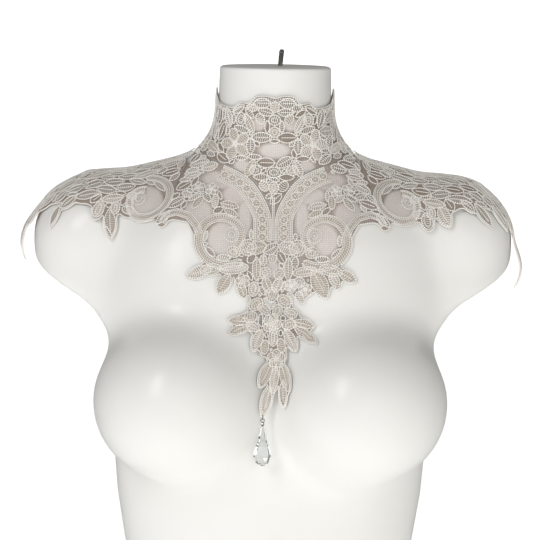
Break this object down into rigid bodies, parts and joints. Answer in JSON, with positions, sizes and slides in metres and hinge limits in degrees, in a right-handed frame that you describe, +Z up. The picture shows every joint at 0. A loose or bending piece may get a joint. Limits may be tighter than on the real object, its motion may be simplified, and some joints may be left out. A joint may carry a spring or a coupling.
{
  "type": "lace neckpiece on a dress form",
  "caption": "Ivory corded-lace collar with a shoulder cape, leaf drop and crystal pendant, on a smooth white half-torso display form.",
  "frame": {"origin": "centre of the flat base that the display form stands on", "axes": "+Z up along the neck, the front of the neckpiece faces -Y, the wearer's left side is +X"},
  "size_m": [0.4368, 0.2379, 0.4883],
  "materials": {
    "white_plastic": "glossy white moulded plastic",
    "steel": "polished steel",
    "lace": "ivory corded lace on tulle",
    "button": "satin ivory button",
    "crystal": "clear faceted glass"
  },
  "bodies": {
    "root": {"form_torso": "white_plastic", "form_rod": "steel", "collar_front": "lace", "collar_back_left": "lace", "collar_back_right": "lace", "front_panel": "lace", "shoulder_left": "lace", "shoulder_right": "lace", "back_left": "lace", "back_right": "lace", "button_1": "button", "button_2": "button", "button_3": "button", "button_4": "button", "button_loop_1": "lace", "button_loop_2": "lace", "button_loop_3": "lace", "button_loop_4": "lace", "jump_ring": "steel", "silver_bead": "steel", "crystal_drop": "crystal"}
  },
  "joints": []
}
